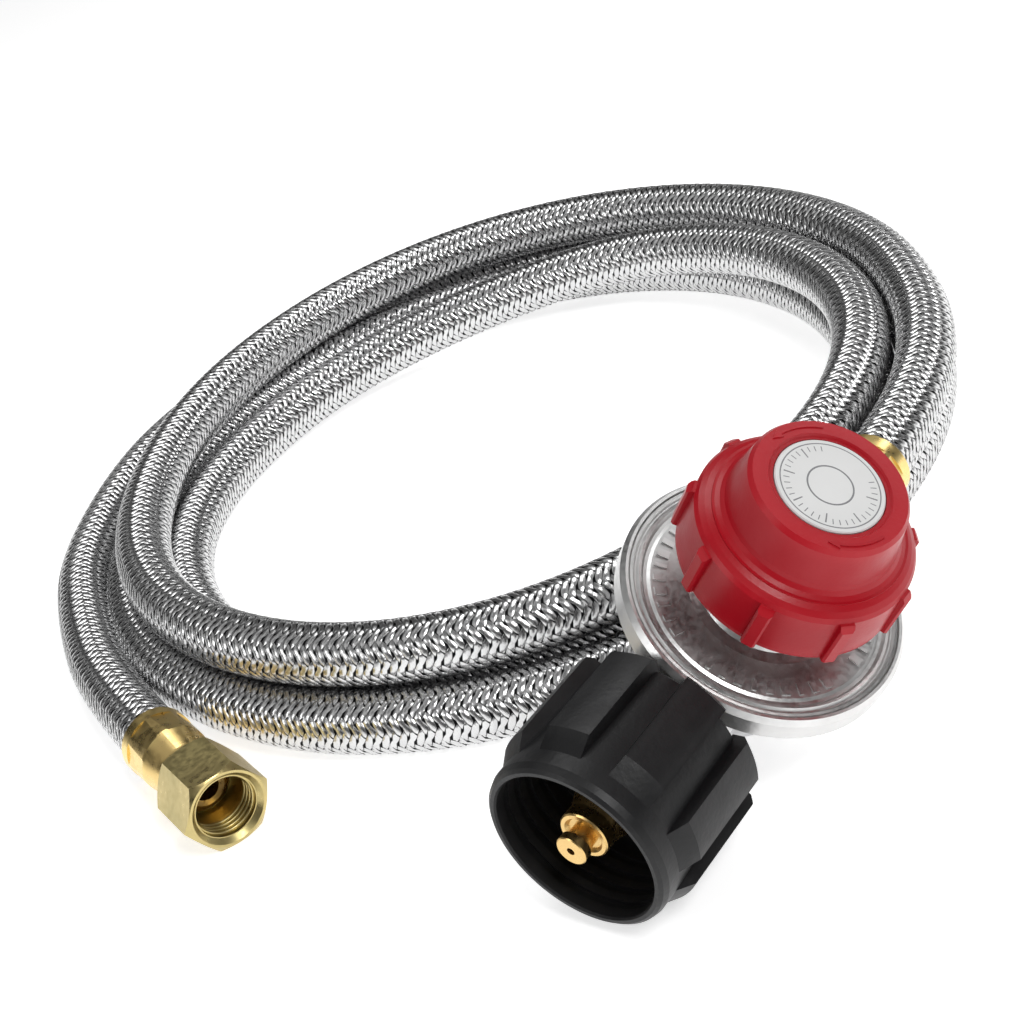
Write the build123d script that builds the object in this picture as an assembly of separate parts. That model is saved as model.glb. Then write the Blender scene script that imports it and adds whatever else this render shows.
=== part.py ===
from build123d import *
import os
from math import cos, pi, radians, sin, tan

# Adjustable high pressure propane regulator with a braided hose, lying on a flat surface.
# Row frame: +X along the inlet axis and out of the inlet nut, +Z up from the surface, millimetres.
# The origin is under the middle of the regulator, on the surface it lies on.
# The regulator is drawn upright in its own frame (inlet along +X, knob axis along +Z, origin
# where the two axes cross) and is then rolled about the inlet axis, as it lies on its inlet nut.

ROLL = 36.0                      # lean of the knob axis away from vertical, towards +Y
AXIS = Vector(-0.75, -10.72, 22.0)   # where the inlet and knob axes cross, in the row frame

HOSE_R = 7.6                     # braided hose, outer radius
RUN_FIT = 0.08                   # radial clearance of a shaft that turns or slides
GAP = 0.3                        # clearance between faces that pass each other

# Diaphragm housing, heights along the knob axis
RIM_R = 30.0
FLANGE_R = 28.4
FLANGE_Z = 13.0                  # top of the body's flange, under the diaphragm
RUBBER_T = 1.0
COVER_T = 2.4
TOWER_R = 13.2
TOWER_TOP = 36.0
BUSH_TOP = 39.0

# Knob
KNOB_Z = 29.0                    # lower edge of the skirt with the knob screwed out
KNOB_H = 24.0
SKIRT_R = 22.6
SKIRT_H = 11.7
CROWN_R = 15.6
LABEL_R = 10.9
RIBS = 9
SCREW_R = 5.0

# Inlet nut and nipple, along the inlet axis
NUT_X0, NUT_X1 = 31.0, 64.0
NUT_R = 22.0
MOUTH_R, MOUTH_BORE_R = 19.3, 17.5
LOBES = 8
NIPPLE_TIP_X = 64.5
NECK_R = 7.6

# Valve and lever, in the plane of the two axes
LEVER_X, LEVER_Z = 7.0, -7.4
LEVER_TIP_Z = -1.2
HOLDER_R = 4.2

# Hose ends: flare nut 3/8 in, 5/8-18 thread, 3/4 in hexagon
HEX_AF = 19.05
FLARE_THREAD_R = 7.35
FLARE_NUT = (23.4, 40.4)         # from the hose end of the ferrule
FERRULE_R = 8.75
OUTLET_FERRULE_L, END_FERRULE_L = 20.0, 23.0
OUTLET_EXIT = 66.0               # where the hose leaves the outlet ferrule, from the knob axis

# Coil: its centre from AXIS, and the way the far fitting points, in the row frame
COIL_CENTRE = AXIS + Vector(-72.4, -126.8, -AXIS.Z)
END_HEADING = 71.9
END_POINT = COIL_CENTRE + Vector(129.6, -7.4, HEX_AF / 2)   # where the hose enters the end ferrule


def upright(shape):
    """From the regulator's own frame to the row frame."""
    return Pos(AXIS) * Rot(-ROLL, 0, 0) * shape


def along_inlet(shape):
    """For pieces that are round about the inlet axis: no roll."""
    return Pos(AXIS) * shape


def at_hose_end(shape):
    """From the end fitting's frame, +X towards its mouth, to the row frame."""
    return Pos(END_POINT) * Rot(0, 0, END_HEADING) * shape


def turned_z(points):
    """A solid of revolution about Z from (radius, height) points."""
    return revolve(make_face(Plane.XZ * Polyline([(r, z) for r, z in points], close=True)), Axis.Z)


def turned_x(points):
    """A solid of revolution about X from (position, radius) points."""
    return revolve(make_face(Plane.XZ * Polyline([(x, r) for x, r in points], close=True)), Axis.X)


def tube_x(x0, x1, outer, inner=0.0):
    """A plain or bored cylinder along X."""
    solid = Pos((x0 + x1) / 2, 0, 0) * Rot(0, 90, 0) * Cylinder(outer, x1 - x0)
    if inner:
        solid -= Pos((x0 + x1) / 2, 0, 0) * Rot(0, 90, 0) * Cylinder(inner, x1 - x0 + 2)
    return solid


def hex_x(x0, x1, across_flats, chamfer=1.6):
    """A hexagon bar along X, a flat at the bottom, with turned corners at both ends."""
    corner = across_flats / 3 ** 0.5
    bar = Pos(x0, 0, 0) * extrude(Plane.YZ * RegularPolygon(corner, 6, rotation=0), x1 - x0)
    low = across_flats / 2 - 0.2
    return bar & turned_x([(x0, 0), (x0, low), (x0 + chamfer, corner + 0.3),
                           (x1 - chamfer, corner + 0.3), (x1, low), (x1, 0)])


# ---- housing -------------------------------------------------------------------------------

def regulator_body():
    shell = turned_z([(0, -13.4), (14.5, -13.4), (16.4, -12.2), (18.2, -4.0), (24.6, 8.4),
                      (25.2, 11.4), (FLANGE_R, 11.4), (FLANGE_R, FLANGE_Z), (0, FLANGE_Z)])
    shell += tube_x(10, 28, 10.2)
    shell += tube_x(-27, -10, 9.6)
    cavity = turned_z([(0, -10.5), (12.8, -10.5), (15.0, -4.0), (21.6, 8.0), (22.0, 14.0), (0, 14.0)])
    shell -= cavity
    shell += tube_x(6, 20, 5.6)
    lug = Box(3.6, 2.0, 5.0)
    for side in (-1, 1):
        shell += Pos(LEVER_X, side * 3.6, -8.3) * lug
    shell -= tube_x(5, 11, HOLDER_R + RUN_FIT)
    shell -= tube_x(10, 17, 3.5)
    shell -= tube_x(16.9, 29, 6.6)
    shell -= tube_x(-28, -17, 6.5)
    shell -= tube_x(-20, -10, 4.0)
    shell -= Pos(LEVER_X - 0.3, 0, -4) * Box(4.4, 3.6, 8)
    shell -= Pos(9.2, 0, 4) * Box(2.4, 3.0, 8)
    shell -= Pos(LEVER_X, 0, LEVER_Z) * Rot(90, 0, 0) * Cylinder(1.0, 12)
    return shell


def bonnet():
    """Diaphragm cover: rolled rings at the rim, a flat field with raised marks, the spring tower."""
    z = FLANGE_Z + RUBBER_T
    profile = [(22.0, z), (28.4, z), (28.4, z + 2.0), (28.1, z + 2.6), (27.6, z + 2.7), (27.1, z + 2.1),
               (26.8, z + 2.1), (26.3, z + 2.6), (25.8, z + 2.5), (25.2, z + 1.7), (24.5, z + 1.7),
               (23.8, z + 2.0), (TOWER_R + 3.0, z + COVER_T), (TOWER_R + 0.9, z + 3.0), (TOWER_R, z + 4.6),
               (TOWER_R, TOWER_TOP - 1.5), (TOWER_R - 1.5, TOWER_TOP), (8.6, TOWER_TOP),
               (8.6, BUSH_TOP - 1), (6.6, BUSH_TOP - 1), (6.6, TOWER_TOP - 4.0),
               (11.4, TOWER_TOP - 4.0), (11.4, z + 4.0), (18.4, z + 1.0), (22.0, z + 0.6)]
    cover = turned_z(profile)
    for k in range(44):
        if k % 11 < 9:
            wide = 0.9 + 0.5 * ((k * 7) % 3)
            mark = Pos(21.9, 0, z + COVER_T - 0.45) * Box(2.6, wide, 0.9)
            cover += Rot(0, 0, k * 360 / 44) * mark
    vent = Pos(-19.0, 12.0, z) * Cylinder(1.2, 12)
    return cover - vent


def rim_ring():
    """The rolled ring that clamps cover and diaphragm to the body."""
    z = FLANGE_Z + RUBBER_T
    return turned_z([(25.8, 10.6), (RIM_R - 0.6, 10.6), (RIM_R, 11.4), (RIM_R, z + 1.6), (RIM_R - 0.9, z + 2.8),
                     (RIM_R - 1.5, z + 2.8), (28.4, z + 2.0), (28.4, 11.4), (25.8, 11.4)])


def diaphragm():
    z = FLANGE_Z
    return turned_z([(2.6, z), (FLANGE_R, z), (FLANGE_R, z + RUBBER_T), (2.6, z + RUBBER_T)])


def orifice():
    return turned_x([(10.5, 1.5), (10.5, 2.1), (11.2, 2.6), (11.2, 3.5), (16.8, 3.5), (16.8, 1.5)])


def screw_bush():
    return turned_z([(SCREW_R + RUN_FIT, TOWER_TOP - 4.0), (6.6, TOWER_TOP - 4.0), (6.6, BUSH_TOP - 1),
                     (7.4, BUSH_TOP - 1), (7.4, BUSH_TOP), (SCREW_R + RUN_FIT, BUSH_TOP)])


# ---- diaphragm, lever and valve ----------------------------------------------------------------

def diaphragm_plate():
    z = FLANGE_Z + RUBBER_T
    return turned_z([(2.3, z + 0.1), (13.2, z + 0.1), (15.0, z + 0.3), (15.0, z + 1.2), (12.0, z + 1.2), (12.0, z + 1.4),
                     (2.3, z + 1.4)])


def diaphragm_stem():
    z = FLANGE_Z + RUBBER_T + 1.4
    return turned_z([(0, 3.6), (2.6, 3.6), (2.6, 4.6), (1.8, 5.0), (1.8, 9.2), (4.6, 9.2), (4.6, 12.9),
                     (2.3, 12.9), (2.3, z), (3.8, z), (3.8, z + 1.6), (0, z + 1.6)])


def lever():
    arm = Pos(LEVER_X, 0, (LEVER_Z + LEVER_TIP_Z) / 2) * Box(1.4, 2.4, LEVER_TIP_Z - LEVER_Z)
    arm += Pos(LEVER_X, 0, LEVER_TIP_Z) * Rot(90, 0, 0) * Cylinder(1.0, 2.4)
    arm += Pos(LEVER_X, 0, LEVER_Z) * Rot(90, 0, 0) * Cylinder(1.75, 4.6)
    arm += Pos(4.1, 0, LEVER_Z) * Box(7.0, 3.0, 1.4)
    arm += Pos(1.3, 0, (LEVER_Z + 2.3) / 2) * Box(1.4, 3.0, 2.3 - LEVER_Z + 1.4)
    arm += Pos(-0.25, 0, 2.4) * Box(4.5, 3.0, 1.2)
    return arm - Pos(LEVER_X, 0, LEVER_Z) * Rot(90, 0, 0) * Cylinder(1.0 + RUN_FIT, 10)


def lever_pin():
    return Pos(LEVER_X, 0, LEVER_Z) * Rot(90, 0, 0) * Cylinder(1.0, 9.2)


def valve_holder():
    holder = tube_x(4.4, 10.2, HOLDER_R) - tube_x(8.9, 11, 3.3)
    return holder - Pos(LEVER_X - 0.25, 0, -2.4) * Box(3.1, 3.0, 5.0)


def valve_seat():
    return tube_x(8.9, 10.4, 3.3)


# ---- spring, screw and knob --------------------------------------------------------------------

def main_spring():
    wire, mean_r, turns = 0.9, 8.8, 3.5
    z0 = FLANGE_Z + RUBBER_T + 1.4 + wire + 0.15
    height = 29.0 - z0 - wire - 0.15
    path = Helix(height / turns, height, mean_r, center=(0, 0, z0))
    return sweep(Plane(path @ 0, z_dir=path % 0) * Circle(wire), path, is_frenet=True)


def spring_seat():
    return turned_z([(0, 29.0), (10.6, 29.0), (10.6, 30.2), (7.0, 31.4), (3.4, 31.4), (2.6, 31.0), (0, 31.0)])


def adjusting_screw():
    return turned_z([(0, 31.3), (2.0, 31.3), (SCREW_R, 34.2), (SCREW_R, KNOB_Z + KNOB_H - 2.0),
                     (0, KNOB_Z + KNOB_H - 2.0)])


def knob():
    z, top = KNOB_Z, KNOB_Z + KNOB_H
    shell = turned_z([
        (19.9, z), (SKIRT_R, z), (SKIRT_R + 0.1, z + 1), (SKIRT_R - 0.3, z + SKIRT_H - 0.9),
        (SKIRT_R - 0.9, z + SKIRT_H), (SKIRT_R - 1.9, z + SKIRT_H + 0.8), (19.4, z + SKIRT_H + 1.5),
        (18.2, z + SKIRT_H + 2.2), (17.5, z + SKIRT_H + 3.0), (17.2, z + SKIRT_H + 4.0), (CROWN_R + 0.3, top - 1.0), (CROWN_R - 0.4, top),
        (12.2, top), (11.8, top - 0.5), (LABEL_R + 0.2, top - 0.5), (LABEL_R + 0.2, top - 1.3),
        (SCREW_R, top - 1.3), (SCREW_R, top - 7.5), (7.2, top - 7.5), (7.2, top - 3.6),
        (13.4, top - 3.6), (13.4, z + 13.4), (19.6, z + 13.4)])
    side = [(SKIRT_R - 1.2, z), (SKIRT_R + 1.2, z), (SKIRT_R + 1.2, z + SKIRT_H - 2.0),
            (SKIRT_R + 0.2, z + SKIRT_H - 0.8), (SKIRT_R - 1.2, z + SKIRT_H - 0.8)]
    rib = extrude(Plane.XZ * make_face(Polyline(side, close=True)), 1.5, both=True)
    rib = chamfer(rib.edges().filter_by(Axis.Z).group_by(Axis.X)[-1], 0.45)
    for k in range(RIBS):
        shell += Rot(0, 0, 10 + k * 360 / RIBS) * rib
    return shell


def knob_label():
    top = KNOB_Z + KNOB_H
    return turned_z([(SCREW_R + 0.5, top - 1.3), (LABEL_R, top - 1.3), (LABEL_R, top - 0.45),
                     (LABEL_R - 0.25, top - 0.2), (0, top - 0.2), (0, top - 0.9), (SCREW_R + 0.5, top - 0.9)])


# ---- inlet -------------------------------------------------------------------------------------

def inlet_nut():
    """Black hand nut: a smooth mouth ring, eight raised grips with hollows between, a stepped inside."""
    x0, x1 = NUT_X0, NUT_X1
    core = turned_x([(x0, 10.0), (x0, 17.6), (x0 + 1.2, 18.9), (x1 - 14.0, 19.4), (x1 - 6.0, 19.8),
                     (x1 - 2.0, MOUTH_R + 0.45), (x1 - 0.6, MOUTH_R), (x1, MOUTH_R - 0.7), (x1, MOUTH_BORE_R + 0.3),
                     (x1 - 0.5, MOUTH_BORE_R), (x0 + 14, MOUTH_BORE_R), (x0 + 14, 16.1), (x0 + 5.2, 16.1),
                     (x0 + 5.2, 10.0)])
    grips = turned_x([(x0, 15), (x0, NUT_R - 1.3), (x0 + 1.3, NUT_R), (x1 - 9.5, NUT_R),
                      (x1 - 5.0, 19.6), (x1 - 5.0, 15)])
    bars = Part()
    for k in range(LOBES):
        bar = Pos((x0 + x1) / 2, 0, -NUT_R + 1.5) * Box(x1 - x0, 9.4, 6)
        bars += Rot(k * 360 / LOBES, 0, 0) * chamfer(bar.edges().filter_by(Axis.X).group_by(Axis.Z)[0], 0.6)
    solid = core + (grips & bars)
    for k in range(4):
        x = x0 + 17.5 + k * 3.6
        solid -= tube_x(x, x + 1.8, MOUTH_BORE_R + 0.7)
    return solid


def thermal_bushing():
    x0 = NUT_X0
    return tube_x(x0 + 0.4, x0 + 5.2, 10.0, NECK_R + RUN_FIT)


def inlet_nipple():
    outside = [(17.0, 6.6), (28.0, 6.6), (28.0, 9.6), (30.6, 9.6), (30.6, NECK_R), (36.5, NECK_R),
               (36.5, 10.6), (38.6, 10.6), (39.4, 9.8), (39.4, 7.9), (49.0, 7.9), (57.3, 4.9), (57.3, 5.3),
               (59.9, 5.3), (60.2, 5.0), (60.2, 4.2), (59.4, 3.6), (59.4, 2.6), (62.4, 2.6), (62.4, 3.1),
               (62.6, 3.3), (64.3, 3.3), (NIPPLE_TIP_X, 3.1)]
    inside = [(NIPPLE_TIP_X, 0.85), (57.5, 0.85), (56.0, 3.0), (42.0, 3.0), (42.0, 1.8), (17.0, 1.8)]
    return turned_x(outside + inside)


def flow_poppet():
    return turned_x([(48.0, 0), (48.0, 2.9), (52.6, 2.9), (54.4, 1.0), (54.4, 0)])


def flow_spring():
    wire, turns, length = 0.3, 6, 5.2
    path = Helix(length / turns, length, 2.3)
    coil = sweep(Plane(path @ 0, z_dir=path % 0) * Circle(wire), path, is_frenet=True)
    return Pos(42.4, 0, 0) * Rot(0, 90, 0) * coil


# ---- outlet and hose ends --------------------------------------------------------------------------

def crimp_flats(x0, x1, across_flats):
    """Eight flats pressed into a ferrule between two rings."""
    ring = tube_x(x0, x1, FERRULE_R + 2)
    prism = Pos(x0, 0, 0) * extrude(Plane.YZ * RegularPolygon(across_flats / 2, 8, major_radius=False), x1 - x0)
    return ring - prism


def ferrule(x1):
    """Crimped brass ferrule along +X, x1 long, open at 0 for the hose."""
    x0 = 0
    solid = turned_x([(x0, HOSE_R), (x0, FERRULE_R - 0.7), (x0 + 0.9, FERRULE_R), (x0 + 3.4, FERRULE_R),
                      (x0 + 12.0, FERRULE_R - 0.2), (x1 - 4.0, 7.0), (x1, 6.6), (x1, 5.1), (x0 + 13.8, 5.1),
                      (x0 + 13.8, HOSE_R)])
    return solid - crimp_flats(4.0, 12.5, 2 * FERRULE_R - 0.9)


def barb(x0, turned):
    """Barbed tail inside the hose, as profile points from x0."""
    points = [(x0, 3.2)]
    for k in range(3):
        points += [(x0 + 0.6 + 3.4 * k, 4.4), (x0 + 3.4 + 3.4 * k, 3.9)]
    return points + turned


def end_stem():
    shape = barb(3.0, [(13.8, 3.9), (13.8, 5.1), (25.5, 5.1), (25.5, 6.9), (26.4, 6.9), (28.6, 4.6),
                       (28.6, 3.2)])
    return turned_x(shape)


def swivel_nut():
    x0, x1 = FLARE_NUT
    nut = hex_x(x0, x1, HEX_AF)
    nut -= tube_x(x0 - 1, x0 + 3, 5.1 + RUN_FIT)
    nut -= tube_x(x0 + 1.9, x1 - 8.9, FLARE_THREAD_R + 0.5)
    nut -= tube_x(x1 - 9.0, x1 + 1, FLARE_THREAD_R)
    return nut - turned_x([(x1 - 1.2, 7.0), (x1 - 1.2, 7.6), (x1 + 0.1, 8.8), (x1 + 1, 8.8), (x1 + 1, 7.0)])


def outlet_fitting():
    """Brass outlet fitting: threaded end, hexagon and hose barb, pointing along -X."""
    tail = turned_x(barb(3.0, [(13.8, 3.9), (13.8, 5.1), (33.0, 5.1), (33.0, 6.5), (49.0, 6.5), (49.0, 3.2)]))
    return Pos(-OUTLET_EXIT, 0, 0) * (tail + (hex_x(20.4, 35.6, 17.0) - tube_x(19, 40, 4.0)))


def outlet_ferrule():
    return Pos(-OUTLET_EXIT, 0, 0) * ferrule(OUTLET_FERRULE_L)


# ---- hose --------------------------------------------------------------------------------------

OUTLET_ROUTE = [
    AXIS + Vector(-52.25, 0, 0),
    AXIS + Vector(-86.25, 0, 0),
    AXIS + Vector(-125.85, -12.85, 0.5),
    AXIS + Vector(-155.95, -35.95, 0.8),
]
END_ROUTE = [
    COIL_CENTRE + Vector(71.2, -100.7, HOSE_R),
    COIL_CENTRE + Vector(98.0, -71.0, HOSE_R + 0.1),
    COIL_CENTRE + Vector(120.9, -34.0, HEX_AF / 2),
    END_POINT + Vector(13.0 * cos(radians(END_HEADING)), 13.0 * sin(radians(END_HEADING)), 0),
]


def hose_tube(name, points):
    """Straight runs joined by arcs, each as large as its two runs allow."""
    runs = [b - a for a, b in zip(points, points[1:])]
    radii = [0.45 * min(a.length, b.length) / tan(radians(a.get_angle(b) / 2)) for a, b in zip(runs, runs[1:])]
    path = FilletPolyline(*points, radius=radii)
    solid = sweep(Plane(path @ 0, z_dir=path % 0) * Circle(HOSE_R), path)
    ratio = solid.volume / (pi * HOSE_R ** 2 * path.length)
    print(name, "arc radii", [round(r) for r in radii], "length", round(path.length, 1), "volume ratio",
          round(ratio, 4))
    return solid


def ring_sector(inner, outer, low, high, start=0.0, sweep_angle=360.0):
    """Part of a ring about the coil's centre, with chamfered outer corners."""
    c = 3.4
    face = make_face(Plane.XZ * Polyline([(inner, low), (outer - c, low), (outer, low + c), (outer, high - c),
                                          (outer - c, high), (inner, high)], close=True))
    return Rot(0, 0, start) * revolve(face, Axis.Z, sweep_angle)


def hose_coil():
    """The coil's outer shape: two layers of turns about a hole that is off centre."""
    low = 2 * HOSE_R
    body = ring_sector(60, 117.4, 0, low)
    body += ring_sector(110.0, 124.0, 0, low, 38, 80)
    body += ring_sector(110.0, 130.2, 0, low, 105, 222)
    body += ring_sector(60, 115.4, low - 4, 29.6)
    body += ring_sector(108.0, 130.4, low - 6, 30.0, 110, 130)
    return Pos(COIL_CENTRE) * (body - Pos(2.0, 12.6, 15) * Cylinder(87.0, 60))


MAKERS = {
    "regulator_body": lambda: upright(regulator_body()),
    "bonnet": lambda: upright(bonnet()),
    "rim_ring": lambda: upright(rim_ring()),
    "diaphragm": lambda: upright(diaphragm()),
    "orifice": lambda: upright(orifice()),
    "screw_bush": lambda: upright(screw_bush()),
    "diaphragm_plate": lambda: upright(diaphragm_plate()),
    "diaphragm_stem": lambda: upright(diaphragm_stem()),
    "lever": lambda: upright(lever()),
    "lever_pin": lambda: upright(lever_pin()),
    "valve_holder": lambda: upright(valve_holder()),
    "valve_seat": lambda: upright(valve_seat()),
    "main_spring": lambda: upright(main_spring()),
    "spring_seat": lambda: upright(spring_seat()),
    "adjusting_screw": lambda: upright(adjusting_screw()),
    "knob": lambda: upright(knob()),
    "knob_label": lambda: upright(knob_label()),
    "inlet_nut": lambda: along_inlet(inlet_nut()),
    "thermal_bushing": lambda: along_inlet(thermal_bushing()),
    "inlet_nipple": lambda: along_inlet(inlet_nipple()),
    "flow_poppet": lambda: along_inlet(flow_poppet()),
    "flow_spring": lambda: along_inlet(flow_spring()),
    "outlet_fitting": lambda: along_inlet(outlet_fitting()),
    "outlet_ferrule": lambda: along_inlet(outlet_ferrule()),
    "end_ferrule": lambda: at_hose_end(ferrule(END_FERRULE_L)),
    "end_stem": lambda: at_hose_end(end_stem()),
    "swivel_nut": lambda: at_hose_end(swivel_nut()),
    "hose_outlet": lambda: hose_tube("hose_outlet", OUTLET_ROUTE) - along_inlet(tube_x(-63.2, -52, 4.45)),
    "hose_coil": hose_coil,
    "hose_end": lambda: hose_tube("hose_end", END_ROUTE) - at_hose_end(tube_x(2.8, 13.5, 4.45)),
}
CORD = ("outlet_ferrule", "end_ferrule", "end_stem", "swivel_nut", "hose_outlet", "hose_coil", "hose_end")


def main():
    os.makedirs("parts", exist_ok=True)
    box = None
    for name, make in MAKERS.items():
        solid = make()
        export_step(solid, f"parts/{name}.step")
        if name not in CORD:
            bounds = solid.bounding_box()
            box = bounds if box is None else box.add(bounds)
    print("regulator box", box.min, box.max)


main()
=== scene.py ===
from math import cos, pi, radians, sin

import bpy
import numpy as np
from mathutils import Matrix, Vector


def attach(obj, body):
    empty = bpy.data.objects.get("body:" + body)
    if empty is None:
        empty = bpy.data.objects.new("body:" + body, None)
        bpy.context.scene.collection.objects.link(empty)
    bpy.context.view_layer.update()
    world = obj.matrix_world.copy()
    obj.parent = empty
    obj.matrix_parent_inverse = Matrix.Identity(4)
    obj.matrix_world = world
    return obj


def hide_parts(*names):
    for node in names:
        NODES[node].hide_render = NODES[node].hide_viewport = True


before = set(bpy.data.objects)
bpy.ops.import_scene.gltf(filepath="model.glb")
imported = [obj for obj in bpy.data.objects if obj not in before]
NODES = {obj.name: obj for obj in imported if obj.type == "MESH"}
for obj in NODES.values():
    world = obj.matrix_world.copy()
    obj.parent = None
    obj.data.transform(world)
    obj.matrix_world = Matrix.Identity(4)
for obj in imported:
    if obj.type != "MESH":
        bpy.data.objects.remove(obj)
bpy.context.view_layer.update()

scene = bpy.context.scene

# ---- camera --------------------------------------------------------------------------------

LEAN = radians(36)
AXIS = Vector((-0.00075, -0.01072, 0.022))          # where the inlet and knob axes cross
MM = 0.001
TO_KNOB = Matrix.Translation(AXIS) @ Matrix.Rotation(-LEAN, 4, "X")

camera_data = bpy.data.cameras.new("camera")
camera_data.lens, camera_data.sensor_width = 61.5, 36.0
camera_data.clip_start = 0.01
camera = bpy.data.objects.new("camera", camera_data)
scene.collection.objects.link(camera)
right = Vector((-0.5607, 0.7765, -0.2876)).normalized()
back = Vector((0.6014, 0.6206, 0.5032)).normalized()
up = back.cross(right).normalized()
right = up.cross(back)
place = AXIS + Vector((0.2303, 0.1865, 0.2183))
camera.matrix_world = Matrix(((right.x, up.x, back.x, place.x), (right.y, up.y, back.y, place.y),
                              (right.z, up.z, back.z, place.z), (0, 0, 0, 1)))
scene.camera = camera

# ---- shader helpers ------------------------------------------------------------------------


class Shader:
    """A material's node tree, with short calls for the nodes used here."""

    def __init__(self, name):
        self.material = bpy.data.materials.new(name)
        self.material.use_nodes = True
        self.tree = self.material.node_tree
        self.bsdf = self.tree.nodes["Principled BSDF"]

    def node(self, kind, **settings):
        made = self.tree.nodes.new("ShaderNode" + kind)
        for key, value in settings.items():
            setattr(made, key, value)
        return made

    def link(self, value, socket):
        if hasattr(value, "is_output"):
            self.tree.links.new(value, socket)
        else:
            socket.default_value = value

    def math(self, operation, a, b=0.0, c=0.0):
        made = self.node("Math", operation=operation)
        for value, socket in zip((a, b, c), made.inputs):
            self.link(value, socket)
        return made.outputs[0]

    def mix(self, factor, a, b):
        made = self.node("Mix", data_type="RGBA")
        self.link(factor, made.inputs[0])
        self.link((*a, 1.0) if isinstance(a, tuple) else a, made.inputs[6])
        self.link((*b, 1.0) if isinstance(b, tuple) else b, made.inputs[7])
        return made.outputs[2]

    def ramp(self, value, low, high, to_low=0.0, to_high=1.0):
        made = self.node("MapRange")
        for v, socket in zip((value, low, high, to_low, to_high), made.inputs):
            self.link(v, socket)
        return made.outputs[0]

    def position(self):
        return self.node("TexCoord").outputs["Object"]

    def noise(self, scale, detail=3.0, stretch=None):
        made = self.node("TexNoise")
        made.inputs["Scale"].default_value = scale
        made.inputs["Detail"].default_value = detail
        place = self.position()
        if stretch:
            mapping = self.node("Mapping")
            mapping.inputs["Scale"].default_value = stretch
            self.link(place, mapping.inputs[0])
            place = mapping.outputs[0]
        self.link(place, made.inputs["Vector"])
        return made.outputs["Fac"]

    def bump(self, height, distance, strength=1.0):
        made = self.node("Bump")
        made.inputs["Strength"].default_value = strength
        made.inputs["Distance"].default_value = distance
        self.link(height, made.inputs["Height"])
        self.link(made.outputs[0], self.bsdf.inputs["Normal"])

    def edge_wear(self):
        """1 on convex edges, 0 on flats."""
        return self.ramp(self.node("NewGeometry").outputs["Pointiness"], 0.51, 0.56)

    def set(self, **values):
        for key, value in values.items():
            self.link((*value, 1.0) if isinstance(value, tuple) else value,
                      self.bsdf.inputs[key.replace("_", " ")])


def metal(name, color, dull, rough, grain=900.0, stretch=None, depth=0.00004, wear=0.35):
    """Metal with uneven tarnish, fine grain in its roughness and slightly brighter edges."""
    s = Shader(name)
    tarnish = s.ramp(s.noise(70.0, 5.0), 0.35, 0.7)
    fine = s.noise(grain, 4.0, stretch)
    base = s.mix(tarnish, color, dull)
    bright = tuple(min(1.0, c * 1.25) for c in color)
    s.set(Base_Color=s.mix(s.math("MULTIPLY", s.edge_wear(), wear), base, bright), Metallic=1.0,
          Roughness=s.math("ADD", s.ramp(fine, 0.3, 0.7, rough - 0.07, rough + 0.08),
                           s.math("MULTIPLY", tarnish, 0.08)))
    s.bump(fine, depth)
    return s.material


def plastic(name, color, shade, rough, coat=0.0, grain=1400.0, depth=0.00003):
    """Moulded plastic with a fine skin, a little unevenness of colour and handling marks."""
    s = Shader(name)
    cloud = s.noise(40.0, 4.0)
    fine = s.noise(grain, 3.0)
    base = s.mix(s.ramp(cloud, 0.3, 0.75, 0.0, 0.6), color, shade)
    bright = tuple(min(1.0, c * 1.3 + 0.02) for c in color)
    s.set(Base_Color=s.mix(s.math("MULTIPLY", s.edge_wear(), 0.3), base, bright), Metallic=0.0,
          Roughness=s.ramp(s.noise(160.0, 5.0), 0.3, 0.75, rough - 0.05, rough + 0.09))
    s.bsdf.inputs["Specular IOR Level"].default_value = 0.32
    s.bsdf.inputs["Coat Weight"].default_value = coat
    s.bsdf.inputs["Coat Roughness"].default_value = 0.12
    s.bump(fine, depth)
    return s.material


BRASS = (0.73, 0.50, 0.20)
brass = metal("brass", BRASS, (0.66, 0.44, 0.17), 0.27, 900.0, None, 0.00002)
brass_crimp = metal("brass_crimp", (0.86, 0.64, 0.26), (0.80, 0.58, 0.23), 0.26, 500.0, None, 0.00002)
brass_dull = metal("brass_dull", (0.56, 0.45, 0.20), (0.44, 0.38, 0.17), 0.30, 700.0, None, 0.00002)
satin = metal("satin_aluminium", (0.70, 0.70, 0.695), (0.58, 0.58, 0.575), 0.33)
cast = metal("cast_aluminium", (0.70, 0.70, 0.70), (0.58, 0.58, 0.59), 0.45, 420.0, None, 0.00012)
steel = metal("zinc_steel", (0.62, 0.62, 0.63), (0.48, 0.49, 0.50), 0.30)


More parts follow.
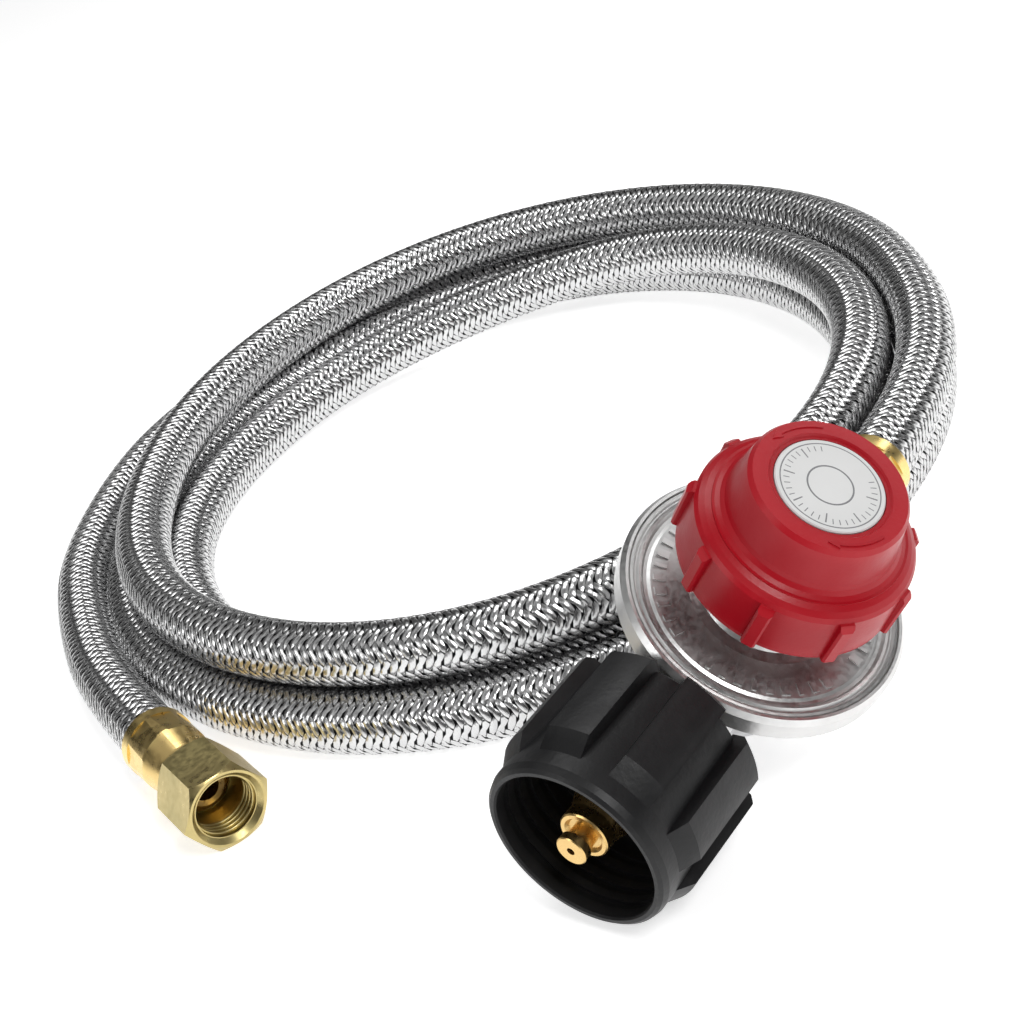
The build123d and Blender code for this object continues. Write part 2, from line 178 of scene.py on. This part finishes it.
def label_material():
    """White printed disc: a thin ring, graduated ticks over most of it and a smaller ring."""
    s = Shader("label_white")
    local = s.node("Mapping", vector_type="TEXTURE")
    local.inputs["Location"].default_value = AXIS
    local.inputs["Rotation"].default_value = (-LEAN, 0, 0)
    s.link(s.position(), local.inputs[0])
    parts = s.node("SeparateXYZ")
    s.link(local.outputs[0], parts.inputs[0])
    x, y = parts.outputs[0], parts.outputs[1]
    squares = s.math("ADD", s.math("MULTIPLY", x, x), s.math("MULTIPLY", y, y))
    r = s.math("MULTIPLY", s.math("SQRT", squares), 1000.0)
    turn = s.math("ADD", s.math("DIVIDE", s.math("ARCTAN2", y, x), 2 * pi), 0.5)

    def band(value, low, high):
        return s.math("MULTIPLY", s.math("GREATER_THAN", value, low), s.math("LESS_THAN", value, high))

    tick = s.math("ABSOLUTE", s.math("SUBTRACT", s.math("FRACT", s.math("MULTIPLY", turn, 40.0)), 0.5))
    major = s.math("ABSOLUTE", s.math("SUBTRACT", s.math("FRACT", s.math("MULTIPLY", turn, 8.0)), 0.5))
    ticks = s.math("MULTIPLY", s.math("LESS_THAN", tick, 0.07), band(r, 8.0, 9.2))
    majors = s.math("MULTIPLY", s.math("LESS_THAN", major, 0.022), band(r, 7.0, 9.2))
    scale = s.math("MULTIPLY", s.math("MAXIMUM", ticks, majors), band(turn, 0.1, 0.9))
    arc = band(r, 4.35, 4.7)
    ink = s.math("MAXIMUM", s.math("MAXIMUM", scale, arc), band(r, 9.7, 9.95))
    paper = s.mix(s.ramp(s.noise(60.0), 0.3, 0.7), (0.74, 0.74, 0.735), (0.68, 0.68, 0.675))
    s.set(Base_Color=s.mix(ink, paper, (0.20, 0.20, 0.21)),
          Roughness=s.ramp(s.noise(300.0), 0.3, 0.7, 0.36, 0.48))
    s.bump(s.noise(900.0), 0.00002)
    return s.material


red = plastic("red_gloss", (0.40, 0.002, 0.010), (0.32, 0.001, 0.007), 0.36, 0.04)
black = plastic("black_satin", (0.006, 0.006, 0.0065), (0.010, 0.010, 0.011), 0.42, 0.0, 900.0, 0.00006)
rubber = plastic("black_rubber", (0.012, 0.012, 0.012), (0.020, 0.020, 0.020), 0.6)
white = label_material()

FINISH = {
    "regulator_body": cast, "bonnet": satin, "rim_ring": satin, "diaphragm": rubber, "orifice": brass,
    "screw_bush": brass, "diaphragm_plate": steel, "diaphragm_stem": brass, "lever": steel,
    "lever_pin": steel, "valve_holder": brass, "valve_seat": rubber, "main_spring": steel,
    "spring_seat": steel, "adjusting_screw": steel, "knob": red, "knob_label": white, "inlet_nut": black,
    "thermal_bushing": black, "inlet_nipple": brass, "flow_poppet": brass, "flow_spring": steel,
    "outlet_fitting": brass, "outlet_ferrule": brass_crimp, "end_ferrule": brass_crimp,
    "end_stem": brass, "swivel_nut": brass_dull,
}
for node, finish in FINISH.items():
    obj = NODES[node]
    if not obj.material_slots:
        obj.data.materials.append(finish)
    for slot in obj.material_slots:
        slot.material = finish

# ---- hose ----------------------------------------------------------------------------------

HOSE_R = 0.0076
COIL_CENTRE = AXIS + Vector((-0.0724, -0.1268, -0.022))
END_HEADING = radians(71.9)
END_POINT = COIL_CENTRE + Vector((0.1296, -0.0074, 0.009525))
END_WAY = Vector((cos(END_HEADING), sin(END_HEADING), 0))
COIL_START = 125.8                # bearing about the coil's centre where the turns begin, degrees

# Radius and height of the hose's middle, in millimetres, at every eighth of a turn
RADII = [123, 120.3, 116, 102.5, 97, 102, 108, 108,
         107, 98, 83, 84.5, 89, 94, 101, 104.3,
         107.5, 108, 106, 105.5, 105, 109.6, 116.6, 119.6,
         122.8, 123.3, 122.5, 124.5, 122.5, 122.5]
HEIGHTS = [22.8, 22.5, 22.0, 22.5, 20.7, 21.0, 21.2, 22.4,
           22.8, 20.6, 14.5, 9.0] + [7.6] * 18


def smooth(values, t):
    """Catmull-Rom through evenly spaced values, t in steps."""
    i = min(int(t), len(values) - 2)
    f = t - i
    a, b, c, d = (values[max(0, min(len(values) - 1, i + k))] for k in (-1, 0, 1, 2))
    return 0.5 * (2 * b + (c - a) * f + (2 * a - 5 * b + 4 * c - d) * f * f
                  + (3 * b - a - 3 * c + d) * f ** 3)


def coil_points(first, last, step=15.0):
    """Points of the turns; the radius is a little larger because the spline runs inside its points."""
    found, turn = [], first
    while turn <= last:
        radius = smooth(RADII, turn / 45) * 0.001 * 1.0086
        bearing = radians(COIL_START + turn)
        found.append(COIL_CENTRE + Vector((radius * cos(bearing), radius * sin(bearing),
                                           smooth(HEIGHTS, turn / 45) * 0.001)))
        turn += step
    return found


route = [AXIS + Vector((-0.0545, 0, 0)), AXIS + Vector((-0.08625, 0, 0)),
         AXIS + Vector((-0.12585, -0.01285, 0.0005))]
route += coil_points(9.0, 1240.0)
route += [COIL_CENTRE + Vector((0.0745, -0.0978, 0.0076)), COIL_CENTRE + Vector((0.0980, -0.0710, 0.0077)),
          COIL_CENTRE + Vector((0.1209, -0.0340, 0.009525)), END_POINT + END_WAY * 0.0125]

curve_data = bpy.data.curves.new("hose_route", "CURVE")
curve_data.dimensions = "3D"
spline = curve_data.splines.new("NURBS")
spline.points.add(len(route) - 1)
for point, place in zip(spline.points, route):
    point.co = (*place, 1.0)
spline.order_u = 3
spline.use_endpoint_u = True
spline.resolution_u = 24
route_object = bpy.data.objects.new("hose_route", curve_data)
scene.collection.objects.link(route_object)
bpy.context.view_layer.update()
line_mesh = bpy.data.meshes.new_from_object(route_object.evaluated_get(bpy.context.evaluated_depsgraph_get()))
line = [v.co.copy() for v in line_mesh.vertices]
bpy.data.objects.remove(route_object)

CARRIERS = 12                     # bands of wire each way round
RELIEF = 0.0003                   # depth pressed into the tube between bands
BAND_RUN = 0.0020                 # length of hose for one band to move over by one band
AROUND, ALONG = 96, 0.00050


def resampled(points, step):
    """Evenly spaced points on a line, with their distance from its start."""
    found, distance, target = [], 0.0, 0.0
    for a, b in zip(points, points[1:]):
        length = (b - a).length
        while target <= distance + length and length > 0:
            found.append((a.lerp(b, (target - distance) / length), target))
            target += step
        distance += length
    return found


def braided_tube(name, points):
    """A tube about the route, pressed into the pattern of its bands, with turn and run as its UV map."""
    stations = resampled(points, ALONG)
    centres = np.array([tuple(p) for p, _ in stations])
    runs = np.array([d for _, d in stations])
    tangents = np.gradient(centres, axis=0)
    tangents /= np.linalg.norm(tangents, axis=1)[:, None]
    side = np.empty_like(tangents)
    side[0] = (0, 0, 1)
    for i in range(len(side)):
        before = side[i - 1] if i else side[0]
        side[i] = before - tangents[i] * before.dot(tangents[i])
        side[i] /= np.linalg.norm(side[i])
    other = np.cross(tangents, side)
    turns = np.arange(AROUND) / AROUND
    a = turns[None, :] * CARRIERS + runs[:, None] / BAND_RUN
    b = turns[None, :] * CARRIERS - runs[:, None] / BAND_RUN
    ia, ib = np.floor(a), np.floor(b)
    over = (ia + ib) % 4 < 2
    across = np.where(over, a - ia, b - ib)
    lengthwise = np.where(over, b, a)
    crown = 1.0 - np.abs(2 * across - 1) ** 3
    height = crown * (0.7 + 0.3 * np.sin(np.pi * (lengthwise % 2) / 2))
    radius = HOSE_R - RELIEF + RELIEF * height
    angle = turns * 2 * np.pi
    ring = (np.cos(angle)[None, :, None] * side[:, None, :]
            + np.sin(angle)[None, :, None] * other[:, None, :])
    verts = centres[:, None, :] + ring * radius[:, :, None]
    count = len(stations)
    verts = verts.reshape(-1, 3)
    i, j = np.meshgrid(np.arange(count - 1), np.arange(AROUND), indexing="ij")
    k = (j + 1) % AROUND
    quads = np.stack([i * AROUND + j, i * AROUND + k, (i + 1) * AROUND + k, (i + 1) * AROUND + j], -1)
    quads = quads.reshape(-1, 4)
    mesh = bpy.data.meshes.new(name)
    mesh.vertices.add(len(verts))
    mesh.vertices.foreach_set("co", verts.ravel())
    mesh.loops.add(quads.size + 2 * AROUND)
    ends = np.concatenate([np.arange(AROUND)[::-1], (count - 1) * AROUND + np.arange(AROUND)])
    mesh.loops.foreach_set("vertex_index", np.concatenate([quads.ravel(), ends]))
    mesh.polygons.add(len(quads) + 2)
    starts = np.concatenate([np.arange(len(quads)) * 4, [quads.size, quads.size + AROUND]])
    mesh.polygons.foreach_set("loop_start", starts)
    mesh.update(calc_edges=True)
    mesh.polygons.foreach_set("use_smooth", np.ones(len(quads) + 2, dtype=bool))
    # The last face of a ring runs on to a turn of 1 rather than back to 0, so the pattern closes
    uv = mesh.uv_layers.new(name="braid")
    turn_of = np.concatenate([np.stack([j, j + 1, j + 1, j], -1).reshape(-1) / AROUND, np.zeros(2 * AROUND)])
    run_of = np.concatenate([np.stack([runs[i], runs[i], runs[i + 1], runs[i + 1]], -1).reshape(-1),
                             np.zeros(2 * AROUND)])
    uv.data.foreach_set("uv", np.stack([turn_of, run_of], -1).ravel())
    made = bpy.data.objects.new(name, mesh)
    scene.collection.objects.link(made)
    return made


def braid_material():
    """Stainless braid: bands of fine wires, two over and two under, bright on the crowns, with near-black
    painted shade between the bands, where a band dives under the next and between its wires.
    """
    s = Shader("steel_braid")
    uv = s.node("UVMap", uv_map="braid")
    parts = s.node("SeparateXYZ")
    s.link(uv.outputs[0], parts.inputs[0])
    across_hose = s.math("MULTIPLY", parts.outputs[0], float(CARRIERS))
    along_hose = s.math("DIVIDE", parts.outputs[1], BAND_RUN)
    a, b = s.math("ADD", across_hose, along_hose), s.math("SUBTRACT", across_hose, along_hose)
    ia, ib = s.math("FLOOR", a), s.math("FLOOR", b)
    cell = s.math("FLOORED_MODULO", s.math("ADD", ia, ib), 4.0)
    over = s.math("LESS_THAN", cell, 1.5)
    under = s.math("SUBTRACT", 1.0, over)

    def pick(x, y):
        return s.math("ADD", s.math("MULTIPLY", over, x), s.math("MULTIPLY", under, y))

    across = pick(s.math("SUBTRACT", a, ia), s.math("SUBTRACT", b, ib))
    along = pick(b, a)
    from_middle = s.math("ABSOLUTE", s.math("SUBTRACT", s.math("MULTIPLY", across, 2.0), 1.0))
    crown = s.math("SUBTRACT", 1.0, s.math("POWER", from_middle, 3.0))
    wave = s.math("SINE", s.math("MULTIPLY", s.math("FLOORED_MODULO", along, 2.0), pi / 2))
    wires = s.math("ABSOLUTE", s.math("SINE", s.math("MULTIPLY", across, 6 * pi)))
    height = s.math("ADD", s.math("MULTIPLY", crown, s.math("ADD", 0.7, s.math("MULTIPLY", wave, 0.3))),
                    s.math("MULTIPLY", wires, 0.05))
    sag = s.math("MULTIPLY", s.math("SUBTRACT", 1.0, wave), 0.45)
    # Painted shade: the base colour goes near black at the band edges and where a band dives under the next
    painted_shade = s.ramp(s.math("ADD", from_middle, sag), 0.90, 1.02)
    # more painted shade in the grooves between a band's wires
    painted_shade = s.math("MAXIMUM", painted_shade, s.ramp(wires, 0.0, 0.35, 0.14, 0.0))
    uneven = s.ramp(s.noise(260.0, 3.0), 0.35, 0.7, 0.0, 0.35)
    steel_color = s.mix(uneven, (0.72, 0.72, 0.72), (0.55, 0.55, 0.56))
    # the painted shade is mixed into the base colour as near black, and roughened there
    s.set(Base_Color=s.mix(painted_shade, steel_color, (0.012, 0.012, 0.013)), Metallic=0.95,
          Roughness=s.math("ADD", 0.22, s.math("MULTIPLY", painted_shade, 0.35)))
    s.link(s.node("Tangent", direction_type="UV_MAP", uv_map="braid").outputs[0], s.bsdf.inputs["Tangent"])
    lean = 0.074                  # each band's lean from straight round the hose, in turns
    s.set(Anisotropic=0.6, Anisotropic_Rotation=pick(0.25 - lean, 0.25 + lean))
    s.bump(height, 0.00026, 0.8)
    return s.material


hose = braided_tube("braided_hose", line)
hose.data.materials.append(braid_material())
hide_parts("hose_outlet", "hose_coil", "hose_end")
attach(hose, "regulator")
LENGTH = sum((b - a).length for a, b in zip(line, line[1:]))
print("hose length", round(LENGTH, 4))

# ---- details on the fittings ---------------------------------------------------------------

TO_END = Matrix.Translation(END_POINT) @ Matrix.Rotation(END_HEADING, 4, "Z")


def mesh_piece(name, verts, faces, place, material, body, smooth_faces=True):
    """A mesh in a fitting's own frame, in millimetres, that rides with a body."""
    mesh = bpy.data.meshes.new(name)
    mesh.from_pydata([place @ (Vector(v) * MM) for v in verts], [], faces)
    for polygon in mesh.polygons:
        polygon.use_smooth = smooth_faces
    mesh.materials.append(material)
    made = bpy.data.objects.new(name, mesh)
    scene.collection.objects.link(made)
    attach(made, body)
    return made


THREAD_STEPS = 64                 # points round one turn of a thread
RUN_OUT = 24                      # points over which a thread starts and ends


def thread(name, place, body, material, first, last, pitch, crest, root):
    """The ridge of an inside thread along X, from first to last, running out at both ends."""
    steps = int((last - first) / pitch * THREAD_STEPS)
    verts, faces = [], []
    for i in range(steps + 1):
        x, angle = first + (last - first) * i / steps, 2 * pi * i / THREAD_STEPS
        depth = min(1.0, i / RUN_OUT, (steps - i) / RUN_OUT)
        ridge = root - (root - crest) * depth
        for dx, r in ((-0.42, root), (-0.08, ridge), (0.08, ridge), (0.42, root)):
            verts.append((x + dx * pitch, r * cos(angle), r * sin(angle)))
        if i:
            a = 4 * i
            faces += [(a - 4 + k, a - 3 + k, a + 1 + k, a + k) for k in range(3)]
            faces.append((a - 1, a - 4, a, a + 3))
    faces += [(0, 1, 2, 3), (4 * steps + 3, 4 * steps + 2, 4 * steps + 1, 4 * steps)]
    return mesh_piece(name, verts, faces, place, material, body)


thread("flare_thread", TO_END, "swivel_nut", brass_dull, 32.2, 38.6, 1.41, 6.85, 7.42)


def crown_arrow(name, start, way):
    """A raised arrow round the knob's top ring: a curved shaft and its head."""
    outline, span, middle_r = [], 40, 13.85
    half_shaft, half_head, low, high = 0.28, 0.95, 52.9, 53.22
    arc = [radians(start + way * span * k / 12) for k in range(13)]
    outline += [((middle_r + half_shaft) * cos(t), (middle_r + half_shaft) * sin(t)) for t in arc]
    tip = radians(start + way * (span + 9))
    outline += [((middle_r + half_head) * cos(arc[-1]), (middle_r + half_head) * sin(arc[-1])),
                (middle_r * cos(tip), middle_r * sin(tip)),
                ((middle_r - half_head) * cos(arc[-1]), (middle_r - half_head) * sin(arc[-1]))]
    outline += [((middle_r - half_shaft) * cos(t), (middle_r - half_shaft) * sin(t)) for t in reversed(arc)]
    count = len(outline)
    verts = [(x, y, low) for x, y in outline] + [(x, y, high) for x, y in outline]
    sides = [(i, (i + 1) % count, count + (i + 1) % count, count + i) for i in range(count)]
    faces = [tuple(range(count, 2 * count)), tuple(reversed(range(count)))] + sides
    return mesh_piece(name, verts, faces, TO_KNOB, red, "knob", False)


crown_arrow("crown_arrow_in", 215, 1)
crown_arrow("crown_arrow_out", 75, -1)

# ---- floor and light -----------------------------------------------------------------------

floor_shader = Shader("floor_pale")
floor_shader.set(Base_Color=floor_shader.mix(floor_shader.noise(3.0), (0.86, 0.86, 0.86), (0.84, 0.84, 0.84)),
                 Roughness=0.8)
floor_shader.bsdf.inputs["Emission Color"].default_value = (1, 1, 1, 1)
floor_shader.bsdf.inputs["Emission Strength"].default_value = 0.62
floor_shader.bsdf.inputs["Specular IOR Level"].default_value = 0.1
bpy.ops.mesh.primitive_plane_add(size=30, location=(0, 0, 0))
ground = bpy.context.object
ground.name = "ground"
ground.data.materials.append(floor_shader.material)

world = bpy.data.worlds.new("studio")
scene.world = world
world.use_nodes = True
sky = world.node_tree
background = sky.nodes["Background"]
coordinate = sky.nodes.new("ShaderNodeTexCoord")
split = sky.nodes.new("ShaderNodeSeparateXYZ")
steps = sky.nodes.new("ShaderNodeValToRGB")
sky.links.new(coordinate.outputs["Generated"], split.inputs[0])
sky.links.new(split.outputs[2], steps.inputs[0])
sky.links.new(steps.outputs[0], background.inputs[0])
steps.color_ramp.elements[0].position, steps.color_ramp.elements[0].color = 0.0, (0.9, 0.9, 0.9, 1)
steps.color_ramp.elements[1].position, steps.color_ramp.elements[1].color = 1.0, (0.30, 0.30, 0.30, 1)
for place, level in ((0.10, 0.9), (0.16, 0.10), (0.42, 0.05), (0.62, 0.10), (0.70, 0.9), (0.86, 0.9),
                     (0.92, 0.2)):
    element = steps.color_ramp.elements.new(place)
    element.color = (level, level, level, 1)
background.inputs[1].default_value = 0.55


def lamp(name, place, target, size, power):
    data = bpy.data.lights.new(name, "AREA")
    data.size, data.energy = size, power
    made = bpy.data.objects.new(name, data)
    made.location = place
    made.rotation_euler = (Vector(target) - Vector(place)).to_track_quat("-Z", "Y").to_euler()
    scene.collection.objects.link(made)


middle = (-0.04, -0.10, 0.02)
lamp("key", (0.15, 0.55, 0.75), middle, 0.30, 3.6)
lamp("fill", (0.75, -0.35, 0.55), middle, 0.35, 1.3)
lamp("top", (-0.35, -0.35, 0.95), middle, 0.45, 2.6)
lamp("rim", (-0.75, 0.15, 0.45), middle, 0.25, 1.3)
scene.view_settings.view_transform = "Standard"
